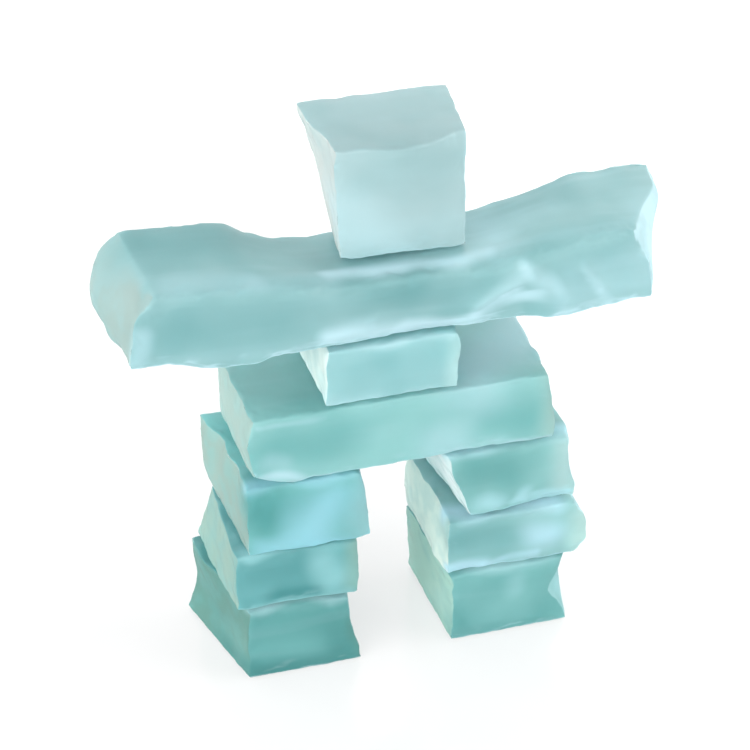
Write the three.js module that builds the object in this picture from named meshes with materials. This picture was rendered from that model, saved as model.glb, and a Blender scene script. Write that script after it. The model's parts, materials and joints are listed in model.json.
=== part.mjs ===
import * as THREE from 'three';
import { mergeVertices } from 'three/addons/utils/BufferGeometryUtils.js';

// A tabletop inukshuk: ten blocks of frosted glass, bonded one on another.
// Millimetres, +Z up. The figure faces -Y, and left and right are the viewer's.
// Blocks are measured across from the middle of the chest block, and up from a datum just above
// the ground. The finished group is then moved, so that the origin lies on the ground under the
// middle of the whole figure.

// Driving dimensions

const front = -17.5; // the front faces of the blocks line up
const back = 17.5; // and so do most of the back faces
const legBack = 19.5; // the left leg reaches further back at its joints
const joint = 0.3; // bond line between one block and the next
const arris = 1.1; // rounding of every worn edge

const ground = -0.7;
const footTop = 22;
const shinTop = 40;
const thighTop = 61.2;
const hipTop = 81.8;
const chestTop = 98.5;
const armsTop = 120.3; // at the raised ends of the lintel
const headTop = 147.6;

// The seat that the head is bonded to is dished into the lintel, and tilts down to the back.
const seatFront = 116.6;
const seatBack = 112;
const seatLeft = -14;
const seatRight = 27;
const headFront = -6;

const shinBottom = footTop + joint;
const thighBottom = shinTop + joint;
const hipBottom = thighTop + joint;
const chestBottom = hipTop + joint;
const armsBottom = chestTop + joint;

const glass = {
  head: 0xb9dde0,
  arms: 0x98ced0,
  chest: 0x9dd5d6,
  hip: 0x90cccb,
  thigh: 0x82c3c3,
  shin: 0x7dc0c0,
  foot: 0x6fb3b1,
};

// Curves and surfaces

const { lerp } = THREE.MathUtils;

// Height of the tilted seat at a depth y.
function seatAt(y) {
  return lerp(seatFront, seatBack, (y - front) / (back - front));
}

// Slope of a smooth curve at station i: level at every peak, dip and end.
function slopeAt(stations, i) {
  if (i === 0 || i === stations.length - 1) return stations.length === 2 ? gradient(stations, 0) : 0;
  const before = gradient(stations, i - 1);
  const after = gradient(stations, i);
  if (before * after <= 0) return 0;
  return (2 * before * after) / (before + after);
}

function gradient(stations, i) {
  const [p, a] = stations[i];
  const [q, b] = stations[i + 1];
  return (b - a) / (q - p);
}

// A smooth curve through a few stations [place, value], level beyond its ends. A number is a
// straight edge.
function edge(shape) {
  if (typeof shape === 'number') return () => shape;
  const last = shape.length - 1;
  return (place) => {
    if (place <= shape[0][0]) return shape[0][1];
    if (place >= shape[last][0]) return shape[last][1];
    const i = shape.findIndex((station, k) => k < last && place <= shape[k + 1][0]);
    const [start, a] = shape[i];
    const [end, b] = shape[i + 1];
    const span = end - start;
    const t = (place - start) / span;
    const bend = t * t * (3 - 2 * t);
    const leave = t * (1 - t) * (1 - t) * slopeAt(shape, i) * span;
    const arrive = t * t * (t - 1) * slopeAt(shape, i + 1) * span;
    return lerp(a, b, bend) + leave + arrive;
  };
}

// A face stretched between two opposite edges, with hollows, swells and crests added to it.
// along runs with the two edges, across runs from the near edge to the far one, and part is
// the share of the way across.
function face(near, far, ...relief) {
  const nearEdge = edge(near);
  const farEdge = edge(far);
  return (along, across, part) => {
    const plain = lerp(nearEdge(along), farEdge(along), part);
    return relief.reduce((sum, shape) => sum + shape(along, across), plain);
  };
}

// A round swell or hollow, as high as amount in the middle.
function swell(along, across, reachAlong, reachAcross, amount) {
  return (p, q) => {
    const u = (p - along) / reachAlong;
    const v = (q - across) / reachAcross;
    return amount * Math.exp(-u * u - v * v);
  };
}

// A long crest between two places, where two flake scars meet.
function crest(from, to, width, amount) {
  const run = new THREE.Vector2(to[0] - from[0], to[1] - from[1]);
  return (p, q) => {
    const offset = new THREE.Vector2(p - from[0], q - from[1]);
    const share = THREE.MathUtils.clamp(offset.dot(run) / run.lengthSq(), 0, 1);
    const distance = offset.distanceTo(run.clone().multiplyScalar(share));
    return amount * Math.exp(-((distance / width) ** 2));
  };
}

// Blocks

// Grid lines along one side of a block, with a row at each end that rounds the edge.
function gridLines(length, cells) {
  const inner = Array.from({ length: cells + 1 }, (_, i) => lerp(arris, length - arris, i / cells));
  return [0, ...inner, length];
}

// A place on a box with rounded edges: what lies outside the inner box is drawn to arris from it.
function roundOff(place, size) {
  const inner = new THREE.Vector3(
    THREE.MathUtils.clamp(place.x, arris, size.x - arris),
    THREE.MathUtils.clamp(place.y, arris, size.y - arris),
    THREE.MathUtils.clamp(place.z, arris, size.z - arris),
  );
  return place.sub(inner).setLength(arris).add(inner);
}

// One glass block. x, y and z are the sides of the plain box that its six faces are drawn on.
// left and right are faces along z, from front to back. front and back are faces along x, from
// bottom to top. bottom and top are faces along x, from front to back.
function block(name, color, cells, { x, y = [front, back], z, ...faces }) {
  const size = new THREE.Vector3(x[1] - x[0], y[1] - y[0], z[1] - z[0]);
  const lines = [size.x, size.y, size.z].map((length, axis) => gridLines(length, cells[axis]));
  const counts = lines.map((line) => line.length - 1);
  const geometry = new THREE.BoxGeometry(1, 1, 1, ...counts);
  geometry.deleteAttribute('normal');
  geometry.deleteAttribute('uv');
  const sides = {
    front: face(y[0], y[0]),
    back: face(y[1], y[1]),
    bottom: face(z[0], z[0]),
    top: face(z[1], z[1]),
    ...faces,
  };
  const position = geometry.attributes.position;
  const place = new THREE.Vector3();
  for (let i = 0; i < position.count; i += 1) {
    place.fromBufferAttribute(position, i);
    place.addScalar(0.5);
    place.set(...lines.map((line, axis) => line[Math.round(place.getComponent(axis) * counts[axis])]));
    roundOff(place, size);
    const boxY = y[0] + place.y;
    const boxZ = z[0] + place.z;
    const partX = place.x / size.x;
    const partY = place.y / size.y;
    const partZ = place.z / size.z;
    const realX = lerp(sides.left(boxZ, boxY, partY), sides.right(boxZ, boxY, partY), partX);
    const realY = lerp(sides.front(realX, boxZ, partZ), sides.back(realX, boxZ, partZ), partY);
    const realZ = lerp(sides.bottom(realX, realY, partY), sides.top(realX, realY, partY), partZ);
    position.setXYZ(i, realX, realY, realZ);
  }
  const solid = mergeVertices(geometry);
  solid.computeVertexNormals();
  const material = new THREE.MeshStandardMaterial({ color, roughness: 0.5, metalness: 0 });
  const mesh = new THREE.Mesh(solid, material);
  mesh.name = name;
  return mesh;
}

// Left leg

function leftFoot() {
  return block('left_foot_stone', glass.foot, [6, 5, 4], {
    x: [-45, -10],
    z: [ground, footTop],
    left: face(
      [[0, -39.9], [22, -39.6]],
      [[0, -50], [8, -46.4], [22, -47.4]],
      swell(footTop, 8, 6, 6, -2),
    ),
    right: face([[0, -8.3], [9, -10.2], [18, -11.8], [22, -10.9]], [[0, -9.5], [12, -12.5], [22, -11]]),
    front: face(-17.7, -17.5, swell(-25, 12, 9, 7, -0.4)),
    back: face(17, legBack),
  });
}

function leftShin() {
  return block('left_shin_stone', glass.shin, [6, 5, 4], {
    x: [-43, -9],
    z: [shinBottom, shinTop],
    left: face(
      [[22, -42], [40, -42.2]],
      [[22, -45.4], [34, -42.6], [40, -41.4]],
      swell(shinBottom, 1, 6, 9, -0.6),
    ),
    right: face([[22, -9.8], [25, -8.4], [31, -9.1], [40, -8.8]], [[22, -9], [31, -7.5], [40, -8]]),
    front: face(
      [[-43, -17.2], [-9, -17.8]],
      [[-43, -15.9], [-9, -17.3]],
      swell(-28, 29, 9, 5, 0.5),
      swell(-30, shinBottom, 12, 2.5, 0.7),
    ),
    back: face(legBack, 17.2),
  });
}

function leftThigh() {
  return block('left_thigh_stone', glass.thigh, [6, 9, 5], {
    x: [-40, -6],
    z: [thighBottom, thighTop],
    left: face(
      [[40, -38.4], [61, -38.8]],
      [[40, -41.2], [47.5, -43.3], [61, -43]],
      swell(thighTop, -7, 8, 4, 2.2),
      swell(thighTop, 5, 7, 4.5, 2.4),
    ),
    right: face([[40, -5.6], [61, -7.7]], [[40, -7], [50, -8.6], [61, -7]]),
    front: face([[-40, -17.7], [-22, -18.4], [-6, -17.8]], -17.4, swell(-24, 55, 11, 7, 0.9)),
    back: face(17.2, legBack + 1),
  });
}

// Right leg

function rightFoot() {
  return block('right_foot_stone', glass.foot, [6, 6, 5], {
    x: [15.5, 50],
    z: [ground, footTop],
    left: face([[0, 16.2], [14, 16.4], [22, 15.2]], [[0, 14.4], [8, 14.2], [22, 13.4]]),
    right: face(
      [[0, 50.7], [22, 50.3]],
      [[0, 52.2], [12, 50.6], [22, 51.5]],
      swell(12.5, front, 8, 5, -5.2),
      swell(3, -8, 6, 6, 0.9),
    ),
    front: face(-17.6, -17.5, swell(31, 13, 9, 6, -0.4)),
  });
}

function rightShin() {
  return block('right_shin_stone', glass.shin, [6, 5, 5], {
    x: [15, 52],
    z: [shinBottom, shinTop],
    left: face(
      [[22, 14.9], [40, 14.5]],
      [[22, 13.2], [34, 12.9], [40, 13.8]],
      swell(shinBottom, -9, 5, 4, -1),
      swell(shinTop, -6, 6, 9, 1.1),
    ),
    right: face(
      [[22.3, 50.4], [24.5, 54], [28, 54.8], [33, 54.3], [36.6, 53.1], [40, 51]],
      [[22.3, 50.5], [30, 53], [40, 50.5]],
    ),
    front: face(-17.7, -17.6, swell(26, 31, 8, 5, 0.6), swell(24, shinBottom, 13, 3, 0.9)),
  });
}

function rightThigh() {
  return block('right_thigh_stone', glass.thigh, [6, 5, 5], {
    x: [17, 49],
    z: [thighBottom, thighTop],
    left: face([[40, 21.4], [61, 13.1]], [[40, 16.2], [61, 11.5]]),
    right: face(
      [[40, 50.6], [43.5, 51], [49, 49.5], [54, 47.8], [61, 48.5]],
      [[40, 51.5], [50, 50.5], [61, 50]],
      swell(thighTop, -11, 5, 3, 0.8),
    ),
    front: face(-17.3, -17.4, swell(31, 52, 9, 6, 0.9), swell(42, thighBottom, 8, 4, 2.4)),
  });
}

// Body

function hip() {
  return block('hip_stone', glass.hip, [13, 6, 5], {
    x: [-37, 42],
    z: [hipBottom, hipTop],
    left: face([[61.5, -36.4], [71, -38.2], [81.8, -36.6]], [[61.5, -37.6], [81.8, -38]]),
    right: face(
      [[61.5, 43.6], [67, 43.5], [75, 42.1], [81.8, 41.2]],
      [[61.5, 45], [72, 44.6], [81.8, 43.2]],
    ),
    front: face(
      front,
      front,
      swell(-20, 74, 11, 6, 0.5),
      swell(32, 73, 10, 6, 0.5),
      swell(24, hipBottom, 8, 3, 0.9),
    ),
    bottom: face(hipBottom, hipBottom, swell(-40, front, 10, 5, 5)),
  });
}

function chest() {
  return block('chest_stone', glass.chest, [5, 5, 3], {
    x: [-17.5, 17.5],
    z: [chestBottom, chestTop],
    left: face([[82, -17.8], [98, -17.3]], [[82, -18.1], [98, -17.6]]),
    right: face([[82, 17], [90, 17.5], [98, 17.6]], [[82, 17.4], [98, 17.8]]),
  });
}

// The lintel: raised at both ends, dished for the head, its faces scarred where flakes came off.
function arms() {
  return block('arms_stone', glass.arms, [32, 7, 7], {
    x: [-64, 72],
    z: [armsBottom, armsTop],
    left: face(
      [[99, -64.6], [110, -63.2], [115, -61.9], [118.5, -60.2], [120, -57.4]],
      [[99, -68.9], [104, -68.3], [112, -66.2], [117, -64.5], [120, -60.9]],
      swell(109.5, 2, 7, 12, -4),
      swell(armsBottom, -3, 4, 9, 1.6),
    ),
    right: face(
      [[99, 67.2], [103, 67.4], [107, 66.4], [113, 64.6], [118, 62.7], [120, 61.4]],
      [[99, 78.7], [104, 80.3], [113.5, 81.3], [118, 80.2], [120, 79]],
      swell(118.5, 4, 6.5, 6.5, 3.3),
    ),
    front: face(
      front,
      front,
      swell(6, armsBottom, 17, 4.5, 2),
      swell(2, 110, 16, 5, 1.3),
      swell(33, 103.5, 7, 4.5, 1.4),
      swell(54, 112, 7, 5, 0.9),
      crest([21, 105], [33, 111], 3.4, -0.8),
      crest([33, 115], [44, 103], 3.8, -1.4),
      crest([48, 111], [57, 102], 3.6, -1),
    ),
    back: face(back, back, swell(-30, 108, 18, 6, -1.2), swell(28, 110, 20, 7, -1.4)),
    bottom: face(
      [
        [-64, 101], [-57, 101.2], [-44, 98.5], [-20, armsBottom],
        [20, armsBottom], [28, 99.3], [44, 97.9], [52, 98.9], [67, 99.8],
      ],
      [[-67, 101], [-50, 99.5], [-20, armsBottom], [20, armsBottom], [60, 99.3], [72, 101]],
    ),
    top: face(
      [
        [-57, 120.6], [-47, 120.3], [-36, 118.9], [-24, 118], [seatLeft, seatFront],
        [seatRight, seatFront], [34, 117.7], [43, 120.3], [57, 120.6], [63, 119.6],
      ],
      [
        [-57, 120.2], [-46, 119.7], [-39, 119.5], [-34.3, 118.8], [-29.3, 115.7], [-24.6, 113.5],
        [-20, 112.4], [seatLeft, seatBack], [seatRight, seatBack], [33, 113.6], [42, 115.3],
        [50, 117.2], [55.5, 119.6], [64, 119.6], [71, 120.1], [78, 119.4],
      ],
    ),
  });
}

// The head leans a little forward, and its left side is undercut towards the back.
function head() {
  const bottomFront = seatAt(headFront) + joint;
  const bottomBack = seatAt(back) + joint;
  return block('head_stone', glass.head, [7, 5, 7], {
    x: [-11.5, 22.5],
    y: [headFront, back],
    z: [bottomFront, headTop],
    left: face(
      [[115, -10.4], [147, -12.9]],
      [[115, -6.9], [125, -9], [136, -11.5], [147, -14.6]],
      swell(headTop, -1, 9, 4.5, 0.9),
    ),
    right: face([[115, 21.8], [147, 21.6]], [[115, 24.5], [147, 24]]),
    front: face(
      [[-11.5, -4.8], [4, -6], [22.5, -6.3]],
      [[-11.5, -7.8], [-4, -9.5], [3, -10.8], [11, -9.2], [18, -6.6], [22.5, -4.2]],
    ),
    back: face(16.6, back + 0.3),
    bottom: face(bottomFront, bottomBack),
    top: face(headTop - 1, headTop),
  });
}

// The figure, moved so that the origin is the middle of the underside of its bounding box

function figure() {
  const group = new THREE.Group();
  group.add(leftFoot(), leftShin(), leftThigh());
  group.add(rightFoot(), rightShin(), rightThigh());
  group.add(hip(), chest(), arms(), head());
  const middle = new THREE.Box3().setFromObject(group, true).getCenter(new THREE.Vector3());
  group.position.set(-middle.x, -middle.y, -ground);
  return group;
}

export default figure();
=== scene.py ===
"""A tabletop inukshuk of frosted glass stones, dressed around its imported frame."""

import json
import math

import bpy
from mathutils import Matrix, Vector

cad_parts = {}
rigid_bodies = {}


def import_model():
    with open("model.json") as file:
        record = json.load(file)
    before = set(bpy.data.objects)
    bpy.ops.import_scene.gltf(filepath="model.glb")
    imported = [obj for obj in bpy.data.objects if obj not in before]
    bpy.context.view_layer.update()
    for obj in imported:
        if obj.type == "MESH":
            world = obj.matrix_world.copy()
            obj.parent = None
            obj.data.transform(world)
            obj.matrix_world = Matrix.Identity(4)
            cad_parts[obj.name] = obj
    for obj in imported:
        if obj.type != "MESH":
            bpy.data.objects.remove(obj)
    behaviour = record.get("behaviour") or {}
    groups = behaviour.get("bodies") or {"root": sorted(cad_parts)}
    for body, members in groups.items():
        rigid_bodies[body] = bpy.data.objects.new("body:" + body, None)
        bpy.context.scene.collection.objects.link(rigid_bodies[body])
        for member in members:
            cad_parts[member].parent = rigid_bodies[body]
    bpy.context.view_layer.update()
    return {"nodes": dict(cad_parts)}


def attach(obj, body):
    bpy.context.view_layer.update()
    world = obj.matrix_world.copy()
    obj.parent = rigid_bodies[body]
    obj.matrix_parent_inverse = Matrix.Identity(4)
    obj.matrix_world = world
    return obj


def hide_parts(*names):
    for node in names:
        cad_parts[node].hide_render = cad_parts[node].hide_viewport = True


bl_info = {
    "name": "Frosted glass inukshuk",
    "version": (1, 0, 0),
    "blender": (4, 5, 0),
    "location": "View3D > Sidebar > Inukshuk",
    "description": "Cuts, frosts and lights the ten glass stones of a tabletop inukshuk",
    "category": "Add Mesh",
}

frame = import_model()

MM = 0.001

# Ways to the soft suns and their strengths, in watts for each square metre
LIGHTS = (
    ("back left window", (-0.6, 1, 0.25), 2.9),
    ("back right window", (0.8, 0.9, 0.3), 2),
    ("front left window", (-1, -1, 0.4), 5.6),
    ("front window", (-0.2, -1, 0.3), 0.8),
    ("left window", (-1, -0.1, 0.25), 4),
    ("right window", (1, -0.3, 0.35), 5.4),
)
SUN_SPREAD = math.radians(60)  # across each sun, which makes its light soft
FLOOR_RADIUS = 6  # in metres
AIM = Vector((-5.645, -0.622, 78.7)) * MM  # middle of the view
SENSOR_WIDTH = 36  # of the camera, in millimetres
NEAREST = 1 * MM  # that the camera sees

# Shaping of the stones, in millimetres where not said otherwise
MERGED = 0.02  # points nearer to each other than this are one
QUAD_BEND = math.radians(60)  # the most that a quad made of two triangles may bend or skew
ARRIS_BEND = math.radians(30)  # faces that meet at more than this make an arris
UNDERSIDE = 0.5  # up to this height the feet stay flat
CHIPPED_ABOVE = 1  # arrises lower than this stay straight on the floor
CREST_WIDTH = 0.8  # of the line that crest takes hold of
SHORTEST = 0.01  # squared length that a line has at least
SLIGHTEST = 0.01  # weight that counts as being in a group

# Look of the glass and of the table
GLASS_IOR = 1.5
TABLE_IOR = 1.6
CLOUDS = 0.35  # share of the darker tint in the clouds, which vary at random
STREAKS = 0.1  # share of the glow in the streaks
LEFT_MOTTLE = 0.3  # share of plain glass in the mottled ends that face left
RIGHT_MOTTLE = 0.4  # the same for the ends that face right
RIGHT_GLOW = 0.65  # share of the glow in the painted light on the ends that face right
LIP_LIGHT = 0.8  # share of the glow painted as light along the lower lips
DRIFT = 6  # how far the patches wander, in millimetres
GRAIN_DEPTH = 0.05 * MM
GRAIN_ROUGHNESS = 0.1  # how much the roughness varies with the grain


# Sizes and colours


def tint(name, description, colour):
    """A colour that a user may change."""
    return bpy.props.FloatVectorProperty(
        name=name, description=description, subtype="COLOR", default=colour, min=0, max=1
    )


class GlassTints(bpy.types.PropertyGroup):
    """Colour of the glass of each stone, palest at the head and darkest at the feet; the left
    leg's stones are tinted darker than the right leg's, as painted shade.
    """

    head: tint("Head", "Glass of the head", (0.379, 0.52, 0.533))
    arms: tint("Arms", "Glass of the long lintel", (0.285, 0.493, 0.504))
    chest: tint("Chest", "Glass of the block between hips and arms", (0.328, 0.586, 0.603))
    hip: tint("Hips", "Glass of the slab across both legs", (0.287, 0.563, 0.555))
    left_thigh: tint("Left thigh", "Glass of the left leg's top stone", (0.172, 0.482, 0.473))
    right_thigh: tint("Right thigh", "Glass of the right leg's top stone", (0.247, 0.506, 0.498))
    left_shin: tint("Left shin", "Glass of the left leg's middle stone", (0.142, 0.418, 0.43))
    right_shin: tint("Right shin", "Glass of the right leg's middle stone", (0.283, 0.522, 0.527))
    left_foot: tint("Left foot", "Glass of the left leg's lowest stone", (0.1, 0.357, 0.35))
    right_foot: tint("Right foot", "Glass of the right leg's lowest stone", (0.169, 0.441, 0.435))


class EndShadingTints(bpy.types.PropertyGroup):
    """Colour painted on the cut ends of each stone that face left, for the light, shade and sheen
    that fall on them.
    """

    head: tint("Head", "Ends of the head", (0.503, 0.523, 0.497))
    arms: tint("Arms", "Ends of the long lintel", (0.3, 0.39, 0.36))
    chest: tint("Chest", "Ends of the block between hips and arms", (0.872, 0.947, 0.893))
    hip: tint("Hips", "Ends of the slab across both legs", (0.353, 0.464, 0.42))
    left_thigh: tint("Left thigh", "Ends of the left leg's top stone", (0.273, 0.37, 0.325))
    right_thigh: tint("Right thigh", "Ends of the right leg's top stone", (1, 1, 1))
    left_shin: tint("Left shin", "Ends of the left leg's middle stone", (0.274, 0.429, 0.364))
    right_shin: tint("Right shin", "Ends of the right leg's middle stone", (0.877, 0.953, 0.854))
    left_foot: tint("Left foot", "Ends of the left leg's lowest stone", (0.085, 0.239, 0.201))
    right_foot: tint("Right foot", "Ends of the right leg's lowest stone", (0.4, 0.628, 0.529))


class GlowTints(bpy.types.PropertyGroup):
    """Colour of the glass of each stone where light gathers in it."""

    head: tint("Head", "Glow of the head", (0.51, 0.71, 0.75))
    arms: tint("Arms", "Glow of the long lintel", (0.69, 0.912, 0.997))
    chest: tint("Chest", "Glow of the block between hips and arms", (0.56, 0.8, 0.85))
    hip: tint("Hips", "Glow of the slab across both legs", (0.53, 0.73, 0.8))
    left_thigh: tint("Left thigh", "Glow of the left leg's top stone", (0.356, 0.704, 0.829))
    right_thigh: tint("Right thigh", "Glow of the right leg's top stone", (0.5, 0.79, 0.87))
    left_shin: tint("Left shin", "Glow of the left leg's middle stone", (0.374, 0.721, 0.752))
    right_shin: tint("Right shin", "Glow of the right leg's middle stone", (0.526, 0.788, 0.907))
    left_foot: tint("Left foot", "Glow of the left leg's lowest stone", (0.4, 0.66, 0.7))
    right_foot: tint("Right foot", "Glow of the right leg's lowest stone", (0.4, 0.69, 0.73))


class GlassFinish(bpy.types.PropertyGroup):
    """The sandblasted skin and the body of the glass."""

    clear: bpy.props.FloatProperty(
        name="Clearness",
        description="Share of the light that enters the glass instead of scattering at its skin",
        default=0.68,
        min=0,
        max=1,
        subtype="FACTOR",
    )
    frost: bpy.props.FloatProperty(
        name="Frost",
        description="Roughness of the sandblasted skin",
        default=0.55,
        min=0,
        max=1,
        subtype="FACTOR",
    )
    # Darker tint for the random clouds, and painted shade for the dark patches where little light
    # reaches the glass
    dark_and_shaded: tint("Deep", "What is left of the tint where the glass looks deep", (0.4, 0.66, 0.66))
    density: bpy.props.FloatProperty(
        name="Depth of colour",
        description="How strongly the glass colours light on its way through, for each metre",
        default=30,
        min=0,
    )


class StageSizes(bpy.types.PropertyGroup):
    """Where the camera stands, and the light around it."""

    azimuth: bpy.props.FloatProperty(
        name="Azimuth",
        description="Angle of the camera round the figure, from straight ahead",
        subtype="ANGLE",
        default=math.radians(-16),
    )
    elevation: bpy.props.FloatProperty(
        name="Elevation",
        description="Angle of the camera above the horizon",
        subtype="ANGLE",
        default=math.radians(33),
    )
    distance: bpy.props.FloatProperty(
        name="Distance",
        description="From the camera to the middle of the view",
        subtype="DISTANCE",
        default=485 * MM,
    )
    lens: bpy.props.FloatProperty(
        name="Lens",
        description="Focal length on a sensor 36 mm wide, in millimetres",
        default=91.2,
        min=1,
    )
    studio: bpy.props.FloatProperty(
        name="Studio", description="Brightness of the studio round the figure", default=0.35, min=0
    )
    table: bpy.props.FloatProperty(
        name="Table", description="Brightness of the light table itself", default=0.6, min=0
    )


# Helpers for meshes


def only(piece):
    """Makes one object the sole selected and active one."""
    bpy.ops.object.select_all(action="DESELECT")
    piece.hide_viewport = False
    piece.select_set(True)
    bpy.context.view_layer.objects.active = piece


def stone_from(node, name):
    """A copy of a CAD stone, its triangles merged back into a closed grid of quads."""
    piece = bpy.data.objects.new(name, frame["nodes"][node].data.copy())
    bpy.context.scene.collection.objects.link(piece)
    piece.data.materials.clear()
    only(piece)
    if piece.data.has_custom_normals:
        bpy.ops.mesh.customdata_custom_splitnormals_clear()
    bpy.ops.object.mode_set(mode="EDIT")
    bpy.ops.mesh.select_all(action="SELECT")
    bpy.ops.mesh.remove_doubles(threshold=MERGED * MM)
    bpy.ops.mesh.tris_convert_to_quads(face_threshold=QUAD_BEND, shape_threshold=QUAD_BEND)
    bpy.ops.object.mode_set(mode="OBJECT")
    return piece


def mark_free(piece, name):
    """Puts the points that are clear of the floor in a group."""
    only(piece)
    group = piece.vertex_groups.new(name=name)
    for point in piece.data.vertices:
        if point.co.z > UNDERSIDE * MM:
            group.add([point.index], 1, "REPLACE")


def choose_arrises(piece):
    """Enters edit mode with the arrises of a stone selected."""
    bpy.ops.object.mode_set(mode="EDIT")
    bpy.ops.mesh.select_mode(type="EDGE")
    bpy.ops.mesh.select_all(action="DESELECT")
    bpy.ops.mesh.edges_select_sharp(sharpness=ARRIS_BEND)


def leave_arrises():
    """Goes back from the arrises to object mode."""
    bpy.ops.mesh.select_mode(type="VERT")
    bpy.ops.object.mode_set(mode="OBJECT")


def mark_arrises(piece, name, wider):
    """Puts the points of the stone's arrises in a group, and those next to them where wider."""
    only(piece)
    piece.vertex_groups.new(name=name)
    choose_arrises(piece)
    if wider:
        bpy.ops.mesh.select_more()
    bpy.ops.object.vertex_group_assign()
    leave_arrises()


def crisp(piece, crease):
    """Keeps the arrises of a stone crisper than its faces when it is refined."""
    only(piece)
    choose_arrises(piece)
    bpy.ops.transform.edge_crease(value=crease)
    leave_arrises()


def away(offset, run):
    """How far a place is from a line that runs from the origin."""
    share = min(max(offset.dot(run) / max(run.length_squared, SHORTEST), 0), 1)
    return (offset - run * share).length


def soften(piece, start, end, reach, times):
    """Wears an arris rounder near the line between two places, in millimetres."""
    only(piece)
    group = piece.vertex_groups.new(name="worn")
    low = Vector(start)
    run = Vector(end) - low
    for point in piece.data.vertices:
        near = 1 - away(point.co / MM - low, run) / reach
        if near > 0:
            group.add([point.index], min(near * 2, 1), "REPLACE")
    modifier = piece.modifiers.new("Worn", "SMOOTH")
    modifier.factor = 0.5
    modifier.iterations = times
    modifier.vertex_group = group.name
    bpy.ops.object.modifier_apply(modifier=modifier.name)
    piece.vertex_groups.remove(piece.vertex_groups["worn"])


def refine(piece, levels):
    """Subdivides a stone into a smooth surface."""
    only(piece)
    modifier = piece.modifiers.new("Refine", "SUBSURF")
    modifier.levels = modifier.render_levels = levels
    bpy.ops.object.modifier_apply(modifier=modifier.name)


def wear(piece, width, height, group, level):
    """Lets the part of a surface that is in a group rise and fall as worn glass does. At level
    0.5 it does both alike, and at level 1 it only sinks."""
    only(piece)
    texture = bpy.data.textures.new("wear", "CLOUDS")
    texture.noise_scale = width * MM
    modifier = piece.modifiers.new("Wear", "DISPLACE")
    modifier.texture = texture
    modifier.texture_coords = "LOCAL"
    modifier.mid_level = level
    modifier.strength = height * MM
    modifier.vertex_group = group
    bpy.ops.object.modifier_apply(modifier=modifier.name)


def chip(piece, width, height):
    """Lets the arrises of a stone that are clear of the floor wander as chipped glass does."""
    only(piece)
    rims = piece.vertex_groups.new(name="rims")
    edges = piece.vertex_groups["edges"].index
    for point in piece.data.vertices:
        weight = sum(share.weight for share in point.groups if share.group == edges)
        if weight > SLIGHTEST and point.co.z > CHIPPED_ABOVE * MM:
            rims.add([point.index], weight, "REPLACE")
    texture = bpy.data.textures.new("chips", "CLOUDS")
    texture.cloud_type = "COLOR"
    texture.noise_scale = width * MM
    modifier = piece.modifiers.new("Chips", "DISPLACE")
    modifier.texture = texture
    modifier.texture_coords = "LOCAL"
    modifier.direction = "RGB_TO_XYZ"
    modifier.mid_level = 0.5
    modifier.strength = height * MM
    modifier.vertex_group = rims.name
    bpy.ops.object.modifier_apply(modifier=modifier.name)


def crest(piece, start, end, width, shift, falloff):
    """Draws the surface out along a line between two places, in millimetres."""
    only(piece)
    bpy.ops.object.mode_set(mode="EDIT")
    bpy.ops.mesh.select_all(action="DESELECT")
    bpy.ops.object.mode_set(mode="OBJECT")
    low = Vector(start)
    run = Vector(end) - low
    for point in piece.data.vertices:
        point.select = away(point.co / MM - low, run) < CREST_WIDTH
    bpy.ops.object.mode_set(mode="EDIT")
    bpy.ops.transform.translate(
        value=Vector(shift) * MM,
        use_proportional_edit=True,
        proportional_edit_falloff=falloff,
        proportional_size=width * MM,
    )
    bpy.ops.object.mode_set(mode="OBJECT")


def finish_stone(piece, node, material):
    """Gives a stone its glass and lets it stand for its CAD node."""
    only(piece)
    bpy.ops.object.shade_smooth()
    piece.data.materials.append(material)
    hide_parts(node)
    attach(piece, "root")


# Helpers for materials


class Wire:
    """A node's output that takes part in Python expressions."""

    def __init__(self, glass, socket):
        self.glass = glass
        self.socket = socket

    def __add__(self, other):
        return self.glass.maths("ADD", self, other)

    def __radd__(self, other):
        return self.glass.maths("ADD", other, self)

    def __sub__(self, other):
        return self.glass.maths("SUBTRACT", self, other)

    def __rsub__(self, other):
        return self.glass.maths("SUBTRACT", other, self)

    def __mul__(self, other):
        return self.glass.maths("MULTIPLY", self, other)

    def __rmul__(self, other):
        return self.glass.maths("MULTIPLY", other, self)


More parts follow.
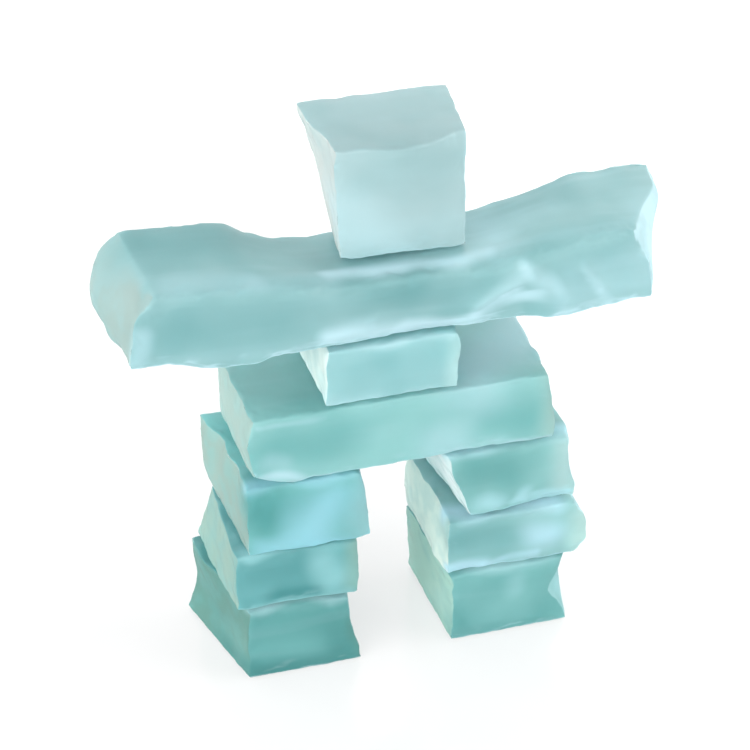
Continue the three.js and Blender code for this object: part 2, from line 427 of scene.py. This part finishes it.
class Glass:
    """A material under construction."""

    def __init__(self, name):
        self.material = bpy.data.materials.new(name)
        self.material.use_nodes = True
        self.tree = self.material.node_tree
        self.tree.nodes.clear()

    def node(self, kind, settings=None, inputs=None, output=0):
        """Adds a node, sets it up, then fills its sockets with values or wires."""
        made = self.tree.nodes.new(kind)
        for key, value in (settings or {}).items():
            setattr(made, key, value)
        for key, value in (inputs or {}).items():
            if isinstance(value, Wire):
                self.tree.links.new(value.socket, made.inputs[key])
            else:
                made.inputs[key].default_value = value
        return Wire(self, made.outputs[output]) if made.outputs else made

    def maths(self, operation, *values):
        """One Math node on numbers or wires."""
        return self.node("ShaderNodeMath", {"operation": operation}, dict(enumerate(values)))

    def vector(self, operation, *values, output=0):
        """One Vector Math node on vectors or wires."""
        inputs = dict(enumerate(values))
        return self.node("ShaderNodeVectorMath", {"operation": operation}, inputs, output)

    def scaled(self, value, scale):
        """A vector times a number."""
        inputs = {0: value, "Scale": scale}
        return self.node("ShaderNodeVectorMath", {"operation": "SCALE"}, inputs)

    def mix(self, factor, first, second):
        """A colour on the way from one to another."""
        inputs = {"Factor": factor, "A": first, "B": second}
        return self.node("ShaderNodeMix", {"data_type": "RGBA"}, inputs, output=2)

    def noise(self, place, scale, detail, output=0):
        """Soft noise with scale features in each millimetre."""
        inputs = {"Vector": place, "Scale": scale, "Detail": detail, "Roughness": 0.5}
        return self.node("ShaderNodeTexNoise", inputs=inputs, output=output)

    def fade(self, value, full, none):
        """Falls smoothly from 1, where the value is full, to 0, where it is none."""
        inputs = {"Value": value, "From Min": full, "From Max": none, "To Min": 1, "To Max": 0}
        return self.node("ShaderNodeMapRange", {"interpolation_type": "SMOOTHSTEP"}, inputs)

    def patch(self, place, start, end, width):
        """A soft patch round the line between two places in millimetres, 1 on the line."""
        run = Vector(end) - Vector(start)
        offset = self.vector("SUBTRACT", place, start)
        slope = run / max(run.length_squared, SHORTEST)
        share = self.vector("DOT_PRODUCT", offset, slope, output=1)
        share = self.node("ShaderNodeClamp", inputs={"Value": share})
        away_from_line = self.vector("DISTANCE", offset, self.scaled(run, share), output=1)
        return self.fade(away_from_line, full=0, none=width)


class Studio(Glass):
    """The world under construction."""

    def __init__(self, name):
        self.world = bpy.data.worlds.new(name)
        self.world.use_nodes = True
        self.tree = self.world.node_tree
        self.tree.nodes.clear()


def frosted(name, stone, patches):
    """Sandblasted glass in the tints of one stone, with soft patches of painted light and shade
    in it. Each patch has a kind, a start, an end, a width and a strength: dark ones paint shade
    where little light reaches the glass, glow ones paint light where it gathers in it, and end
    ones paint an end's colour, with its painted light and shade, onto a face near that end."""
    finish = bpy.context.scene.glass_finish
    glass = Glass(name)
    plain = getattr(bpy.context.scene.glass_tints, stone)
    end_shading = getattr(bpy.context.scene.end_tints, stone)
    glow = getattr(bpy.context.scene.glow_tints, stone)
    # A darker tint, for the random clouds and for painted shade
    dark_and_shaded = [part * dim for part, dim in zip(plain, finish.dark_and_shaded)]
    shades = {"dark_and_shaded": (*dark_and_shaded, 1), "glow": (*glow, 1), "end_shading": (*end_shading, 1)}
    # Painted light on the ends that face right: the plain tint drawn towards the glow
    right_end_light = (*((1 - RIGHT_GLOW) * low + RIGHT_GLOW * high for low, high in zip(plain, glow)), 1)
    place = glass.scaled(glass.node("ShaderNodeTexCoord", output="Object"), 1 / MM)

    clouds = glass.fade(glass.noise(place, scale=0.07, detail=1), full=0.75, none=0.4)
    colour = glass.mix(clouds * CLOUDS, (*plain, 1), shades["dark_and_shaded"])
    along = glass.vector("MULTIPLY", place, (0.12, 1, 1))
    streaks = glass.fade(glass.noise(along, scale=0.22, detail=1), full=0.75, none=0.45)
    colour = glass.mix(streaks * STREAKS, colour, shades["glow"])

    # The ends that face left and right, painted with the light, shade and sheen that fall on them,
    # and mottled at random
    turn = glass.node("ShaderNodeTexCoord", output="Normal")
    across = glass.node("ShaderNodeSeparateXYZ", inputs={0: turn})
    mottle = glass.fade(glass.noise(place, scale=0.15, detail=2), full=0.65, none=0.4)
    mottled_end_shading = glass.mix(mottle * LEFT_MOTTLE, shades["end_shading"], (*plain, 1))
    colour = glass.mix(glass.fade(across, full=-0.65, none=-0.4), colour, mottled_end_shading)
    mottled_end_shading = glass.mix(mottle * RIGHT_MOTTLE, right_end_light, (*plain, 1))
    colour = glass.mix(glass.fade(across, full=0.65, none=0.4), colour, mottled_end_shading)

    # The patches of painted light and shade, whose outlines wander
    drift = glass.noise(place, scale=0.08, detail=0, output="Color")
    drift = glass.vector("SUBTRACT", drift, (0.5, 0.5, 0.5))
    wandering = glass.vector("MULTIPLY_ADD", drift, (DRIFT, DRIFT, DRIFT), place)
    for kind, start, end, width, strength in patches:
        patch = glass.patch(wandering, start, end, width)
        colour = glass.mix(patch * strength, colour, shades[kind])

    # Painted light along the lips, where the faces turn under, but not round the ends
    upward = glass.node("ShaderNodeSeparateXYZ", inputs={0: turn}, output=2)
    lip_light = glass.fade(upward, full=-0.45, none=-0.1) * glass.fade(upward, full=-0.6, none=-0.95)
    lip_light = lip_light * glass.fade(glass.maths("ABSOLUTE", across), full=0.3, none=0.6)
    colour = glass.mix(lip_light * LIP_LIGHT, colour, shades["glow"])

    grain = glass.noise(place, scale=2.5, detail=3)
    bump = glass.node(
        "ShaderNodeBump", inputs={"Strength": 0.2, "Distance": GRAIN_DEPTH, "Height": grain}
    )
    skin = glass.node(
        "ShaderNodeBsdfPrincipled",
        inputs={
            "Base Color": colour,
            "Roughness": finish.frost + (grain - 0.5) * GRAIN_ROUGHNESS,
            "Normal": bump,
            "IOR": GLASS_IOR,
            "Specular IOR Level": 0.05,
            "Transmission Weight": finish.clear,
        },
    )
    body = glass.node(
        "ShaderNodeVolumeAbsorption",
        inputs={"Color": (*plain, 1), "Density": finish.density},
    )
    glass.node("ShaderNodeOutputMaterial", inputs={"Surface": skin, "Volume": body})
    return glass.material


# Operators, one for each stone or pair of like stones


def make_stone(stone, worn=(), pulls=(), crests=(), patches=()):
    """One stone from its CAD node, in its own glass. Worn arrises have a start, an end, a reach
    and a number of passes. Pulls, broad, and crests, sharp, have a start, an end, a width and a
    shift. All but the passes are in millimetres."""
    node = stone + "_stone"
    piece = stone_from(node, stone + "_glass")
    mark_free(piece, "free")
    mark_arrises(piece, "arris", wider=False)
    mark_arrises(piece, "edges", wider=True)
    crisp(piece, crease=0.4)
    refine(piece, levels=2)
    for start, end, width, shift in pulls:
        crest(piece, start, end, width, shift, "SMOOTH")
    for start, end, reach, times in worn:
        soften(piece, start, end, reach, times)
    for start, end, width, shift in crests:
        crest(piece, start, end, width, shift, "SHARP")
    chip(piece, width=5, height=0.9)
    refine(piece, levels=1)
    wear(piece, width=12, height=0.3, group="free", level=0.5)
    wear(piece, width=4, height=0.5, group="edges", level=1)
    wear(piece, width=1.6, height=0.1, group="arris", level=1)
    finish_stone(piece, node, frosted(piece.name, stone, patches))


class INUKSHUK_OT_feet(bpy.types.Operator):
    """Make the lowest stone of each leg"""

    bl_idname = "inukshuk.feet"
    bl_label = "Feet"

    def execute(self, context):
        make_stone(
            "left_foot",
            worn=[((-44, -18, 22.7), (-16, -18, 22.7), 5, 80)],
            patches=[
                ("dark_and_shaded", (-50, -6, 0), (-36, -14, 0), 12, 0.6),
                ("dark_and_shaded", (-44, -18, 2), (-20, -18, 2), 9, 0.7),
                ("end_shading", (-15, -18, 14), (-15, -18, 4), 4, 0.5),
                ("glow", (-44, -15, 22.9), (-18, -15, 22.9), 4, 0.9),
            ],
        )
        make_stone(
            "right_foot",
            worn=[((9, -18, 22.7), (41, -18, 22.7), 5, 80)],
            pulls=[
                ((44.5, -17, 21.5), (45.4, -8, 22), 5, (1.5, 0, 0)),
                ((39, -18, 10), (40.5, -17, 12), 4, (-1.4, 0, 0)),
                ((44.8, -8, 4), (45, 4, 6), 6, (0.8, 0, 0)),
            ],
            patches=[
                ("dark_and_shaded", (12, -18, 6), (34, -18, 3), 10, 0.5),
                ("glow", (28.8, -18, 18), (28.8, -18, 14), 5, 0.3),
                ("glow", (42.8, -14, 14), (44.6, -12, 5), 4.5, 0.6),
                ("glow", (10, -15, 22.9), (40, -15, 22.9), 4, 0.9),
            ],
        )
        return {"FINISHED"}


class INUKSHUK_OT_shins(bpy.types.Operator):
    """Make the middle stone of each leg"""

    bl_idname = "inukshuk.shins"
    bl_label = "Shins"

    def execute(self, context):
        make_stone(
            "left_shin",
            worn=[((-46, -18, 40.7), (-16, -18, 40.7), 5, 80)],
            patches=[
                ("dark_and_shaded", (-42, -18, 35), (-30, -18, 33), 11, 0.45),
                ("dark_and_shaded", (-37, -18, 26.5), (-26, -18, 26.5), 5, 1),
                ("glow", (-25, -18, 35), (-21, -18, 29), 8, 0.7),
                ("end_shading", (-15.5, -18, 39), (-15.5, -18, 25), 5, 0.7),
                ("glow", (-43, -17, 23), (-18, -18, 23), 2.5, 0.6),
                ("glow", (-44, -15, 41), (-18, -15, 41), 4, 0.9),
            ],
        )
        make_stone(
            "right_shin",
            worn=[((9, -18, 40.7), (46, -18, 40.7), 5, 80)],
            patches=[
                ("dark_and_shaded", (11, -18, 37), (24, -18, 32), 11, 0.65),
                ("glow", (35.3, -18, 31), (37, -18, 31), 9, 0.85),
                ("end_shading", (48, -18, 36), (48, -18, 27), 8, 0.3),
                ("glow", (8, -18, 24.5), (20, -18, 24), 4, 0.9),
                ("glow", (20, -18, 24), (34, -18, 24), 2.5, 0.8),
                ("glow", (9, -13, 41.4), (40, -14, 41.4), 5.5, 1),
            ],
        )
        return {"FINISHED"}


class INUKSHUK_OT_thighs(bpy.types.Operator):
    """Make the top stone of each leg"""

    bl_idname = "inukshuk.thighs"
    bl_label = "Thighs"

    def execute(self, context):
        make_stone(
            "left_thigh",
            worn=[((-44, -18, 61.9), (-14, -18, 61.9), 6, 120)],
            patches=[
                ("dark_and_shaded", (-42, -18, 60), (-37, -18, 53), 12, 0.9),
                ("glow", (-24, -18, 53), (-27, -18, 46), 12, 0.8),
                ("glow", (-40, -18, 43), (-20, -18, 42), 6, 0.7),
                ("glow", (-14, -18, 60), (-14, -18, 44), 6, 0.6),
                ("end_shading", (-14, -18, 60), (-14, -18, 44), 6, 0.4),
                ("glow", (-42, -14, 62.2), (-18, -15, 62.2), 4.5, 0.9),
            ],
        )
        make_stone(
            "right_thigh",
            worn=[((10, -18, 61.9), (45, -18, 61.9), 6, 120)],
            patches=[
                ("dark_and_shaded", (17, -18, 57), (26, -18, 54), 10, 0.8),
                ("glow", (19, -18, 45), (22, -18, 44), 6, 0.7),
                ("glow", (30, -18, 46.3), (30, -18, 45), 4, 0.7),
                ("end_shading", (41, -18, 57), (43, -18, 46), 8, 0.25),
                ("glow", (28, -18, 44), (42, -18, 43), 3, 0.5),
                ("glow", (10, -14, 62.3), (44, -14, 62.3), 5, 1),
            ],
        )
        return {"FINISHED"}


class INUKSHUK_OT_hips(bpy.types.Operator):
    """Make the slab across both legs"""

    bl_idname = "inukshuk.hips"
    bl_label = "Hips"

    def execute(self, context):
        make_stone(
            "hip",
            worn=[
                ((-41, -18, 82.5), (-20, -18, 82.5), 6, 100),
                ((-20, -18, 82.5), (38, -18, 82.5), 4, 30),
            ],
            pulls=[((-41, -17.5, 66.3), (-31, -17.5, 64.5), 6, (0, 0, -1.8))],
            patches=[
                ("dark_and_shaded", (-36, -18, 72), (-20, -18, 74), 12, 0.7),
                ("dark_and_shaded", (20, -18, 73), (29, -18, 71), 10, 0.65),
                ("dark_and_shaded", (-42, 0, 83), (-24, -8, 83), 20, 0.1),
                ("glow", (-38.4, -18, 69), (-35, -18, 67), 5, 0.35),
                ("glow", (6, -18, 67), (11, -18, 66), 10, 0.5),
                ("glow", (-40, -18, 64), (-18, -18, 62), 2.4, 1),
                ("glow", (-18, -18, 62), (36, -18, 62), 2, 0.5),
                ("glow", (-40, -18, 79.5), (-24, -18, 81), 1.3, 0.35),
                ("glow", (16, -10, 83), (38, 6, 83), 18, 0.9),
                ("end_shading", (38, -18, 80), (37, -18, 66), 8, 0.7),
            ],
        )
        return {"FINISHED"}


class INUKSHUK_OT_chest(bpy.types.Operator):
    """Make the block between hips and arms"""

    bl_idname = "inukshuk.chest"
    bl_label = "Chest"

    def execute(self, context):
        make_stone(
            "chest",
            worn=[((-22, -18, 99), (12, -18, 99), 4, 60)],
            patches=[
                ("dark_and_shaded", (-10, -18, 94), (4, -18, 92), 10, 0.2),
                ("glow", (-23, -18, 84), (-10, -18, 83), 5, 0.5),
                ("end_shading", (12, -18, 98), (12, -18, 84), 5, 0.25),
                ("glow", (-20, -17, 99), (10, -17, 99), 3, 0.7),
            ],
        )
        return {"FINISHED"}


class INUKSHUK_OT_arms(bpy.types.Operator):
    """Make the long lintel"""

    bl_idname = "inukshuk.arms"
    bl_label = "Arms"

    def execute(self, context):
        make_stone(
            "arms",
            worn=[
                ((-60, -18, 121), (-40, -18, 119.5), 9, 200),
                ((-40, -18, 119.5), (-19, -18, 117.2), 10, 300),
                ((-19, -18, 117.2), (22, -18, 117.2), 10, 300),
                ((22, -18, 117.2), (38, -18, 121), 10, 300),
                ((38, -18, 121), (58, -18, 120.5), 9, 200),
            ],
            pulls=[
                ((-66, -17, 99.5), (-40, -17, 99), 6, (0, 0, -1)),
                ((-72.5, -4, 104), (-72, -6, 104), 4, (-0.7, 0, -0.9)),
            ],
            crests=[
                ((27, -18, 116), (38, -18, 104), 4, (0, -0.9, 0)),
                ((42, -18, 112), (51, -18, 103), 4, (0, -0.8, 0)),
                ((15, -18, 105), (21, -18, 109), 3, (0, -0.5, 0)),
                ((21, -18, 109), (28, -18, 111.5), 3, (0, -0.5, 0)),
                ((-11, -18, 105.5), (-8, -18, 108), 2.5, (0, -0.4, 0)),
            ],
            patches=[
                ("dark_and_shaded", (-14, -19, 115), (-2, -19, 112), 9, 0.5),
                ("dark_and_shaded", (-2, -19, 112), (14, -19, 112), 9, 0.4),
                ("dark_and_shaded", (-60, -18, 112), (-35, -18, 109), 12, 0.4),
                ("dark_and_shaded", (-62, 8, 120), (-30, 8, 118), 24, 0.75),
                ("glow", (24, 2, 118), (38, 2, 120), 10, 0.15),
                ("dark_and_shaded", (-70, 12, 117), (-66, 6, 120), 8, 0.2),
                ("dark_and_shaded", (-74, 4, 108), (-72, -4, 104), 7, 0.2),
                ("glow", (-58, -13, 121), (-40, -13, 119.5), 6, 0.2),
                ("glow", (-40, -13, 119.5), (-19, -13, 117.5), 6, 0.2),
                ("glow", (-22, -19, 103.5), (-4, -18, 101.5), 5, 0.9),
                ("glow", (-4, -18, 101.5), (14, -18, 102), 4, 0.9),
                ("glow", (27, -19, 116), (38, -19, 103.5), 2.5, 0.4),
                ("glow", (42, -19, 112), (50, -19, 103), 2.5, 0.35),
                ("glow", (15.4, -19, 105), (27, -19, 113), 4, 0.35),
                ("dark_and_shaded", (30, -18, 103), (37, -18, 102.5), 4, 0.5),
                ("glow", (-66.5, -18, 111), (-69.5, -18, 103), 4, 0.4),
                ("glow", (40, -18, 106), (60, -18, 108), 12, 0.2),
                ("glow", (66, -8, 114), (68, 0, 106), 14, 0.5),
                ("glow", (-19, -11.5, 117), (19, -11.5, 117), 4.5, 0.8),
                ("glow", (22, -10, 117), (22, 8, 118), 10, 0.3),
            ],
        )
        return {"FINISHED"}


class INUKSHUK_OT_head(bpy.types.Operator):
    """Make the head"""

    bl_idname = "inukshuk.head"
    bl_label = "Head"

    def execute(self, context):
        make_stone(
            "head",
            worn=[((-17, -8, 147), (13, -7, 147), 4, 60)],
            pulls=[
                ((-19, 16, 147.5), (17, 16, 148), 9, (0, 0.8, 0.7)),
                ((-20, -6, 147), (-20, 14, 147.5), 6, (-0.9, 0, 0.3)),
            ],
            patches=[
                ("dark_and_shaded", (-4, -10, 144), (14, -8, 141), 14, 0.3),
                ("dark_and_shaded", (-16, 6, 148), (14, 8, 146), 18, 0.2),
                ("glow", (-16, -6, 130), (-10, -8, 122), 14, 0.5),
                ("glow", (-8, -9, 122), (10, -8, 122), 10, 0.15),
            ],
        )
        return {"FINISHED"}


class INUKSHUK_OT_stage(bpy.types.Operator):
    """Make the floor, the lights and the camera"""

    bl_idname = "inukshuk.stage"
    bl_label = "Stage"

    def execute(self, context):
        sizes = context.scene.stage_sizes
        bpy.ops.object.select_all(action="DESELECT")
        bpy.ops.mesh.primitive_circle_add(vertices=64, radius=FLOOR_RADIUS, fill_type="NGON")
        floor = context.object
        floor.name = "floor"
        table = Glass("light table")
        surface = table.node(
            "ShaderNodeBsdfPrincipled",
            inputs={
                "Base Color": (0.2, 0.2, 0.2, 1),
                "Roughness": 0.12,
                "IOR": TABLE_IOR,
                "Emission Color": (1, 1, 1, 1),
                "Emission Strength": sizes.table,
            },
        )
        table.node("ShaderNodeOutputMaterial", inputs={"Surface": surface})
        floor.data.materials.append(table.material)

        studio = Studio("studio")
        seen = studio.node("ShaderNodeLightPath", output="Is Camera Ray")
        seen = seen + studio.node("ShaderNodeLightPath", output="Is Glossy Ray")
        backdrop = studio.node(
            "ShaderNodeBackground",
            inputs={"Color": (1, 1, 1, 1), "Strength": seen * (1 - sizes.studio) + sizes.studio},
        )
        studio.node("ShaderNodeOutputWorld", inputs={"Surface": backdrop})
        context.scene.world = studio.world
        for name, way, energy in LIGHTS:
            light = bpy.data.lights.new(name, "SUN")
            light.energy = energy
            light.angle = SUN_SPREAD
            lamp = bpy.data.objects.new(name, light)
            context.scene.collection.objects.link(lamp)
            lamp.rotation_euler = Vector(way).to_track_quat("Z", "Y").to_euler()

        camera = bpy.data.objects.new("camera", bpy.data.cameras.new("camera"))
        context.scene.collection.objects.link(camera)
        camera.data.sensor_width = SENSOR_WIDTH
        camera.data.lens = sizes.lens
        camera.data.clip_start = NEAREST
        back = Vector(
            (
                math.sin(sizes.azimuth) * math.cos(sizes.elevation),
                -math.cos(sizes.azimuth) * math.cos(sizes.elevation),
                math.sin(sizes.elevation),
            )
        )
        camera.location = AIM + back * sizes.distance
        camera.rotation_euler = back.to_track_quat("Z", "Y").to_euler()
        context.scene.camera = camera
        context.scene.view_settings.view_transform = "Standard"
        context.scene.cycles.use_denoising = True
        return {"FINISHED"}


class INUKSHUK_PT_panel(bpy.types.Panel):
    """The steps in order, in the 3D view's sidebar"""

    bl_label = "Frosted glass inukshuk"
    bl_space_type = "VIEW_3D"
    bl_region_type = "UI"
    bl_category = "Inukshuk"

    def draw(self, context):
        column = self.layout.column()
        for step in STEPS:
            column.operator(step.bl_idname)
        for group in GROUPS:
            sizes = getattr(context.scene, group)
            for key in sizes.__annotations__:
                column.prop(sizes, key)


STEPS = (
    INUKSHUK_OT_feet,
    INUKSHUK_OT_shins,
    INUKSHUK_OT_thighs,
    INUKSHUK_OT_hips,
    INUKSHUK_OT_chest,
    INUKSHUK_OT_arms,
    INUKSHUK_OT_head,
    INUKSHUK_OT_stage,
)
GROUPS = {
    "glass_tints": GlassTints,
    "end_tints": EndShadingTints,
    "glow_tints": GlowTints,
    "glass_finish": GlassFinish,
    "stage_sizes": StageSizes,
}


def register():
    for cls in (*GROUPS.values(), *STEPS, INUKSHUK_PT_panel):
        bpy.utils.register_class(cls)
    for key, group in GROUPS.items():
        setattr(bpy.types.Scene, key, bpy.props.PointerProperty(type=group))


def unregister():
    for key in GROUPS:
        delattr(bpy.types.Scene, key)
    for cls in (INUKSHUK_PT_panel, *reversed(STEPS), *GROUPS.values()):
        bpy.utils.unregister_class(cls)


def main():
    register()
    for step in STEPS:
        folder, name = step.bl_idname.split(".")
        getattr(getattr(bpy.ops, folder), name)()


if __name__ == "__main__":
    main()
